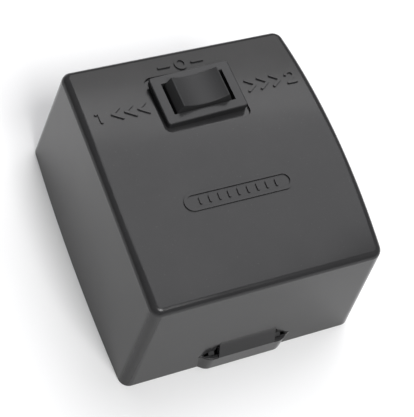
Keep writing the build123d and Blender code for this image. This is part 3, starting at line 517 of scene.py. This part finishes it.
def domed_head(tree, value):
    """A round head that stands on the seat, with a crown that falls off towards its rim."""
    head = tree.nodes.new("GeometryNodeMeshCylinder")
    head.inputs["Fill Segments"].default_value = 6
    tree.links.new(value["Sides"], head.inputs["Vertices"])
    tree.links.new(value["Head Radius"], head.inputs["Radius"])
    rim_height = math_node(tree, "SUBTRACT", value["Head Height"], value["Crown"])
    half_rim = math_node(tree, "MULTIPLY", rim_height, 0.5)
    tree.links.new(rim_height, head.inputs["Depth"])
    place = tree.nodes.new("GeometryNodeInputPosition")
    parts = tree.nodes.new("ShaderNodeSeparateXYZ")
    tree.links.new(place.outputs[0], parts.inputs[0])
    distance = tree.nodes.new("ShaderNodeVectorMath")
    distance.operation = "LENGTH"
    tree.links.new(vector_node(tree, parts.outputs["X"], parts.outputs["Y"]), distance.inputs[0])
    share = math_node(tree, "DIVIDE", distance.outputs["Value"], value["Head Radius"])
    fall = math_node(tree, "MULTIPLY", share, share)
    remains = math_node(tree, "SUBTRACT", 1.0, fall, clamp=True)
    top = tree.nodes.new("FunctionNodeCompare")
    top.operation = "GREATER_THAN"
    tree.links.new(parts.outputs["Z"], top.inputs[0])
    tree.links.new(half_rim, top.inputs[1])
    crown = tree.nodes.new("GeometryNodeSetPosition")
    tree.links.new(moved(tree, head.outputs["Mesh"], half_rim), crown.inputs["Geometry"])
    tree.links.new(top.outputs[0], crown.inputs["Selection"])
    lift = math_node(tree, "MULTIPLY", remains, value["Crown"])
    tree.links.new(vector_node(tree, z=lift), crown.inputs["Offset"])
    return crown.outputs["Geometry"]


def cross_recess(tree, value, head):
    """Cuts two crossed slots into the top of a head."""
    cut = tree.nodes.new("GeometryNodeMeshBoolean")
    cut.operation = "DIFFERENCE"
    tree.links.new(head, cut.inputs["Mesh 1"])
    depth = math_node(tree, "MULTIPLY", value["Recess Depth"], 2.0)
    reach = value["Recess Reach"]
    width = value["Recess Width"]
    for size_x, size_y in ((reach, width), (width, reach)):
        arm = tree.nodes.new("GeometryNodeMeshCube")
        tree.links.new(vector_node(tree, size_x, size_y, depth), arm.inputs["Size"])
        tree.links.new(moved(tree, arm.outputs["Mesh"], value["Head Height"]), cut.inputs["Mesh 2"])
    return cut.outputs["Mesh"]


def plain_shank(tree, value):
    """A plain round shank under the seat."""
    shank = tree.nodes.new("GeometryNodeMeshCylinder")
    shank.inputs["Vertices"].default_value = SHANK_SIDES
    tree.links.new(value["Shank Radius"], shank.inputs["Radius"])
    tree.links.new(value["Shank Length"], shank.inputs["Depth"])
    down = math_node(tree, "MULTIPLY", value["Shank Length"], -0.5)
    return moved(tree, shank.outputs["Mesh"], down)


def random_turn(tree, largest, seed):
    """A different angle for every copy."""
    turn = tree.nodes.new("FunctionNodeRandomValue")
    turn.data_type = "FLOAT"
    limits = [socket for socket in turn.inputs if socket.type == "VALUE"]
    limits[1].default_value = largest
    turn.inputs["Seed"].default_value = seed
    return next(socket for socket in turn.outputs if socket.type == "VALUE")


def screw_tree():
    """Geometry Nodes: a cross-recessed pan-head screw at every point, head upwards."""
    tree, value, end = new_geometry_tree(
        "pan_screws",
        (("Head Radius", 2.8 * MM), ("Head Height", 2.0 * MM), ("Crown", 0.8 * MM),
         ("Shank Radius", 1.5 * MM), ("Shank Length", 8 * MM), ("Recess Width", 0.8 * MM),
         ("Recess Reach", 3.4 * MM), ("Recess Depth", 1.1 * MM)), 40)
    whole = tree.nodes.new("GeometryNodeJoinGeometry")
    tree.links.new(cross_recess(tree, value, domed_head(tree, value)), whole.inputs[0])
    tree.links.new(plain_shank(tree, value), whole.inputs[0])
    turn = vector_node(tree, z=random_turn(tree, math.pi / 2, SCREW_SEED))
    copies_on_points(tree, value, whole.outputs[0], turn, end)
    return tree


def spring_tree():
    """Geometry Nodes: a coil spring with closed ends that rises from every point."""
    tree, value, end = new_geometry_tree(
        "coil_spring",
        (("Coil Radius", 1.0 * MM), ("Wire Radius", 0.16 * MM), ("Closed Length", 2.1 * MM),
         ("Open Length", 1.9 * MM), ("Turns", 6.0), ("Tilt X", 0.0), ("Tilt Y", 0.0)), 14)
    path = tree.nodes.new("GeometryNodeCurveSpiral")
    path.inputs["Resolution"].default_value = COIL_STEPS
    path.inputs["Height"].default_value = 0.0
    tree.links.new(value["Turns"], path.inputs["Rotations"])
    for label in ("Start Radius", "End Radius"):
        tree.links.new(value["Coil Radius"], path.inputs[label])
    along = tree.nodes.new("GeometryNodeSplineParameter").outputs["Factor"]
    end_share = math_node(tree, "DIVIDE", CLOSED_TURNS, value["Turns"])
    opened = ramp_node(tree, along, end_share, math_node(tree, "SUBTRACT", 1.0, end_share))
    rise = math_node(tree, "ADD", math_node(tree, "MULTIPLY", along, value["Closed Length"]),
                     math_node(tree, "MULTIPLY", opened, value["Open Length"]))
    coil = tree.nodes.new("GeometryNodeSetPosition")
    tree.links.new(path.outputs["Curve"], coil.inputs["Geometry"])
    tree.links.new(vector_node(tree, z=rise), coil.inputs["Offset"])
    section = tree.nodes.new("GeometryNodeCurvePrimitiveCircle")
    tree.links.new(value["Sides"], section.inputs["Resolution"])
    tree.links.new(value["Wire Radius"], section.inputs["Radius"])
    wire = tree.nodes.new("GeometryNodeCurveToMesh")
    wire.inputs["Fill Caps"].default_value = True
    tree.links.new(coil.outputs["Geometry"], wire.inputs["Curve"])
    tree.links.new(section.outputs["Curve"], wire.inputs["Profile Curve"])
    copies_on_points(tree, value, wire.outputs["Mesh"],
                     vector_node(tree, value["Tilt X"], value["Tilt Y"]), end)
    return tree


def grow_mesh(name, points, tree, values):
    """Runs a geometry tree on a set of points and keeps the result as a plain mesh object."""
    seed = bpy.data.meshes.new(name + "_points")
    seed.from_pydata(points, [], [])
    holder = bpy.data.objects.new(name + "_holder", seed)
    bpy.context.scene.collection.objects.link(holder)
    modifier = holder.modifiers.new("grow", "NODES")
    modifier.node_group = tree
    for item in tree.interface.items_tree:
        if item.item_type == "SOCKET" and item.in_out == "INPUT" and item.name in values:
            modifier[item.identifier] = values[item.name]
    holder.update_tag()
    graph = bpy.context.evaluated_depsgraph_get()
    mesh = bpy.data.meshes.new_from_object(holder.evaluated_get(graph), depsgraph=graph)
    holder.modifiers.remove(modifier)
    bpy.data.objects.remove(holder)
    bpy.data.meshes.remove(seed)
    mesh.name = name
    piece = bpy.data.objects.new(name, mesh)
    bpy.context.scene.collection.objects.link(piece)
    return piece


def middle_of(values):
    """Half way between the lowest and the highest."""
    values = list(values)
    return (min(values) + max(values)) / 2


def screw_seat(corners):
    """Centre of a packed screw's head, at the level of the seat, and its sizes."""
    low = min(place.z for place in corners)
    high = max(place.z for place in corners)
    centre_x = middle_of(place.x for place in corners)
    centre_y = middle_of(place.y for place in corners)
    reach = [(math.hypot(place.x - centre_x, place.y - centre_y), place.z) for place in corners]
    head_radius = max(radius for radius, _ in reach)
    seat = min(level for radius, level in reach if radius > 0.9 * head_radius)
    below = [radius for radius, level in reach if level < seat - SEAT_STEP]
    sizes = {"head_radius": head_radius, "head_height": high - seat, "shank_length": seat - low,
             "shank_radius": max(below) if below else head_radius * 0.5}
    return (centre_x, centre_y, seat), sizes


# ================================================================ operators
class CONTROLBOX_OT_mouldings(bpy.types.Operator):
    """Finish the cover, back plate, switch, rocker, clamp bar and capacitor case"""
    bl_idname = "controlbox.mouldings"
    bl_label = "Finish mouldings"

    def execute(self, context):
        look = context.scene.box_mouldings
        cover = moulded_material("charcoal_cover", look.cover_colour, look.gloss_roughness, look,
                                 0.0012 * MM)
        bezel = moulded_material("charcoal_bezel", look.switch_colour, look.gloss_roughness + 0.03, look,
                                 0.0015 * MM, dust_share=0.8)
        rocker = moulded_material("charcoal_rocker", look.rocker_colour, look.gloss_roughness + 0.31, look,
                                  0.001 * MM, dust_share=0.5, wear_share=1.3)
        plate = moulded_material("charcoal_plate", look.plate_colour, look.satin_roughness, look,
                                 0.006 * MM, dust_share=0.6)
        base = moulded_material("black_switch_base", shade(look.plate_colour, 0.45),
                                look.satin_roughness, look, 0.008 * MM, dust_share=0.4, wear_share=0.4)
        case = moulded_material("black_capacitor_case", shade(look.plate_colour, 0.5),
                                look.satin_roughness - 0.08, look, 0.004 * MM, dust_share=0.5)
        dress(cover, "front_cover")
        dress(bezel, "switch_body")
        dress(rocker, "rocker_button")
        dress(plate, "back_plate", "cable_clamp_bar")
        dress(base, "switch_base")
        dress(case, "capacitor_case")
        return {"FINISHED"}


class CONTROLBOX_OT_metals(bpy.types.Operator):
    """Finish the contacts, terminals, receptacles and plunger"""
    bl_idname = "controlbox.metals"
    bl_label = "Finish metal pieces"

    def execute(self, context):
        look = context.scene.box_metals
        brass = metal_material("stamped_brass", look.brass_colour, 0.26)
        turned = metal_material("turned_brass", shade(look.brass_colour, 1.1), 0.2, 0.06 * MM)
        tinned = metal_material("tinned_brass", look.tin_colour, 0.34)
        silver = metal_material("silver_contact", look.silver_colour, 0.22, 0.08 * MM, 0.5)
        dress(brass, "moving_contact", "common_terminal", "intake_terminal", "exhaust_terminal",
              "terminal_block_inserts")
        dress(turned, "contact_plunger")
        dress(tinned, "tab_receptacles")
        dress(silver, "moving_contact_rivets", "fixed_contact_rivets")
        return {"FINISHED"}


class CONTROLBOX_OT_wiring(bpy.types.Operator):
    """Finish the wires, sleeves, terminal block, grommet and the capacitor's resin"""
    bl_idname = "controlbox.wiring"
    bl_label = "Finish wiring"

    def execute(self, context):
        look = context.scene.box_wiring
        surface = context.scene.box_mouldings
        for name, colour, nodes in (
                ("brown_insulation", look.line_colour, ("wire_line",)),
                ("blue_insulation", look.intake_colour, ("wire_intake",)),
                ("red_insulation", look.exhaust_colour, ("wire_exhaust",)),
                ("black_insulation", look.lead_colour, ("capacitor_wire_a", "capacitor_wire_b"))):
            dress(soft_material(name, colour, 0.36, surface), *nodes)
        dress(soft_material("natural_nylon", look.block_colour, 0.42, surface, 0.25),
              "terminal_block_body")
        dress(soft_material("milky_sleeve", look.sleeve_colour, 0.3, surface, 0.4),
              "receptacle_sleeves")
        dress(soft_material("grommet_rubber", (0.02, 0.02, 0.02), 0.55, surface), "cable_grommet")
        dress(soft_material("potting_resin", (0.035, 0.032, 0.03), 0.2, surface), "capacitor_resin")
        return {"FINISHED"}


class CONTROLBOX_OT_screws(bpy.types.Operator):
    """Build the cross-recessed screws of the clamp, terminal block and capacitor"""
    bl_idname = "controlbox.screws"
    bl_label = "Build screws"

    def execute(self, context):
        shape = context.scene.box_screws
        zinc = metal_material("zinc_plate", context.scene.box_metals.zinc_colour, 0.24, 0.08 * MM, 0.25)
        tree = screw_tree()
        for node in ("cable_clamp_screws", "terminal_block_screws", "terminal_block_fixing_screws",
                     "capacitor_screw"):
            measured = [screw_seat(corners) for corners in solid_parts(node)]
            if not measured:
                raise RuntimeError("no screws found in " + node)
            (_, _, seat), sizes = measured[0]
            head_radius = sizes["head_radius"]
            head_height = sizes["head_height"]
            points = [(x, y, seat) for (x, y, _), _ in measured]
            piece = grow_mesh(node + "_detailed", points, tree, {
                "Head Radius": head_radius, "Head Height": head_height,
                "Crown": head_height * shape.crown_share, "Shank Radius": sizes["shank_radius"],
                "Shank Length": sizes["shank_length"],
                "Recess Width": head_radius * shape.recess_width,
                "Recess Reach": 2 * head_radius * shape.recess_reach,
                "Recess Depth": head_height * shape.recess_share, "Sides": shape.sides,
                "Material": zinc})
            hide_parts(node)
            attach(piece, "root")
        return {"FINISHED"}


def spring_place(slide):
    """Foot, axis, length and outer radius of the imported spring, which lies along the slide."""
    axis = Vector(slide["axis"]).normalized()
    low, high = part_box("plunger_spring")
    size = high - low
    outer = (size.x - size.z * abs(axis.x)) / 2
    length = (size.z - 2 * outer * math.hypot(axis.x, axis.y)) / axis.z
    return (low + high) / 2 - axis * (length / 2), axis, length, outer


class CONTROLBOX_OT_spring(bpy.types.Operator):
    """Build the coil spring that presses the plunger, and attach it to the rocker"""
    bl_idname = "controlbox.spring"
    bl_label = "Build spring"

    def execute(self, context):
        shape = context.scene.box_spring
        steel = metal_material("spring_wire", context.scene.box_metals.spring_colour, 0.28, 0.05 * MM)
        slide = next(joint for joint in frame["joints"] if joint["name"] == "plunger_slide")
        foot, axis, length, outer = spring_place(slide)
        wire_radius = shape.wire / 2
        wound = length - shape.wire
        turn = Vector((0.0, 0.0, 1.0)).rotation_difference(axis).to_euler()
        start = tuple(foot + axis * wire_radius)
        piece = grow_mesh("plunger_spring_wound", [start], spring_tree(), {
            "Coil Radius": outer - wire_radius, "Wire Radius": wire_radius,
            "Closed Length": wound * shape.closed_share,
            "Open Length": wound * (1 - shape.closed_share), "Turns": float(shape.turns),
            "Tilt X": turn.x, "Tilt Y": turn.y, "Sides": shape.sides, "Material": steel})
        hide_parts("plunger_spring")
        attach(piece, "rocker")
        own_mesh(piece)
        return {"FINISHED"}


# ================================================================ studio
def add_area_light(name, place, size, power, colour):
    """A square soft light that faces the middle of the box."""
    lamp = bpy.data.lights.new(name, "AREA")
    lamp.shape = "SQUARE"
    lamp.size = size
    lamp.energy = power
    lamp.color = colour
    holder = bpy.data.objects.new(name, lamp)
    bpy.context.scene.collection.objects.link(holder)
    holder.location = place
    holder.rotation_euler = (Vector(STUDIO_MIDDLE) - Vector(place)).to_track_quat("-Z", "Y").to_euler()


def add_floor(studio):
    """The pale floor that the box lies on."""
    level = CAD_BOX[0].z - FLOOR_GAP
    half = studio.floor_size / 2
    mesh = bpy.data.meshes.new("studio_floor")
    corners = [(-half, -half, level), (half, -half, level), (half, half, level), (-half, half, level)]
    mesh.from_pydata(corners, [], [(0, 1, 2, 3)])
    floor = bpy.data.objects.new("studio_floor", mesh)
    bpy.context.scene.collection.objects.link(floor)
    material, tree, shader, place = new_material("floor_paper")
    tone = ramp_node(tree, noise_node(tree, place, 3.0, 2.0), 0.3, 0.7)
    paper = mix_colours(tree, tone, shade(studio.floor_colour, 0.99), studio.floor_colour)
    tree.links.new(paper, shader.inputs["Base Color"])
    shader.inputs["Roughness"].default_value = 0.9
    shader.inputs["Specular IOR Level"].default_value = 0.1
    mesh.materials.append(material)


def set_surroundings(scene, brightness):
    """An even, slightly cool room, and a plain view of its light."""
    world = bpy.data.worlds.new("studio_room")
    world.use_nodes = True
    background = world.node_tree.nodes["Background"]
    background.inputs["Color"].default_value = (0.97, 0.98, 1.0, 1.0)
    background.inputs["Strength"].default_value = brightness
    scene.world = world
    scene.view_settings.view_transform = "Standard"


def set_camera(scene, studio):
    """The camera, rolled about its line of sight."""
    sight = bpy.data.cameras.new("studio_camera")
    sight.lens = studio.focal_length
    sight.sensor_width = 36.0
    sight.clip_start = 0.01
    camera = bpy.data.objects.new("studio_camera", sight)
    scene.collection.objects.link(camera)
    place = Vector(studio.camera_place)
    line = (Vector(studio.camera_aim) - place).normalized()
    camera.rotation_mode = "QUATERNION"
    camera.location = place
    camera.rotation_quaternion = (Quaternion(line, studio.camera_roll)
                                  @ line.to_track_quat("-Z", "Y"))
    scene.camera = camera


class CONTROLBOX_OT_studio(bpy.types.Operator):
    """Set the pale floor, the soft lights and the camera"""
    bl_idname = "controlbox.studio"
    bl_label = "Set up studio"

    def execute(self, context):
        studio = context.scene.box_studio
        add_floor(studio)
        set_surroundings(context.scene, studio.surroundings)
        add_area_light("key_light", (0.06, -0.74, 1.28), 0.6, studio.key_power, (1.0, 1.0, 1.0))
        add_area_light("overhead_panel", (0.45, 0.55, 1.5), 1.3, studio.panel_power, (0.98, 0.98, 1.0))
        add_area_light("back_panel", (0.7, 1.4, 1.27), 0.9, studio.back_power, (1.0, 0.99, 0.98))
        set_camera(context.scene, studio)
        return {"FINISHED"}


# ================================================================ panel
class CONTROLBOX_PT_panel(bpy.types.Panel):
    """Buttons for every group of pieces and the studio"""
    bl_idname = "CONTROLBOX_PT_panel"
    bl_label = "Control box"
    bl_space_type = "VIEW_3D"
    bl_region_type = "UI"
    bl_category = "Control Box"

    def draw(self, context):
        layout = self.layout
        for operator, group, fields in PANEL_ROWS:
            box = layout.box()
            settings = getattr(context.scene, group)
            for field in fields:
                box.prop(settings, field)
            box.operator(operator)


PANEL_ROWS = (
    ("controlbox.mouldings", "box_mouldings",
     ("cover_colour", "switch_colour", "rocker_colour", "plate_colour", "gloss_roughness",
      "satin_roughness", "grain_size", "wave_size", "dust", "wear")),
    ("controlbox.metals", "box_metals",
     ("brass_colour", "tin_colour", "zinc_colour", "spring_colour", "silver_colour")),
    ("controlbox.wiring", "box_wiring",
     ("line_colour", "intake_colour", "exhaust_colour", "lead_colour", "block_colour",
      "sleeve_colour")),
    ("controlbox.screws", "box_screws",
     ("crown_share", "recess_share", "recess_width", "recess_reach", "sides")),
    ("controlbox.spring", "box_spring", ("wire", "closed_share", "turns", "sides")),
    ("controlbox.studio", "box_studio",
     ("camera_place", "camera_aim", "camera_roll", "focal_length", "key_power", "panel_power",
      "back_power", "surroundings", "floor_colour", "floor_size")),
)

SETTING_GROUPS = {"box_mouldings": MouldingSettings, "box_metals": MetalSettings,
                  "box_wiring": WiringSettings, "box_screws": ScrewSettings,
                  "box_spring": SpringSettings, "box_studio": StudioSettings}
OTHER_CLASSES = (CONTROLBOX_OT_mouldings, CONTROLBOX_OT_metals, CONTROLBOX_OT_wiring,
                 CONTROLBOX_OT_screws, CONTROLBOX_OT_spring, CONTROLBOX_OT_studio,
                 CONTROLBOX_PT_panel)


def register():
    """Registers the settings, operators and panel."""
    for name, settings in SETTING_GROUPS.items():
        bpy.utils.register_class(settings)
        setattr(bpy.types.Scene, name, PointerProperty(type=settings))
    for item in OTHER_CLASSES:
        bpy.utils.register_class(item)


def unregister():
    """Removes the panel, operators and settings."""
    for item in reversed(OTHER_CLASSES):
        bpy.utils.unregister_class(item)
    for name, settings in reversed(SETTING_GROUPS.items()):
        delattr(bpy.types.Scene, name)
        bpy.utils.unregister_class(settings)


def main():
    """Builds every piece and the studio."""
    register()
    bpy.ops.controlbox.studio()
    bpy.ops.controlbox.mouldings()
    bpy.ops.controlbox.metals()
    bpy.ops.controlbox.wiring()
    bpy.ops.controlbox.screws()
    bpy.ops.controlbox.spring()


if __name__ == "__main__":
    main()
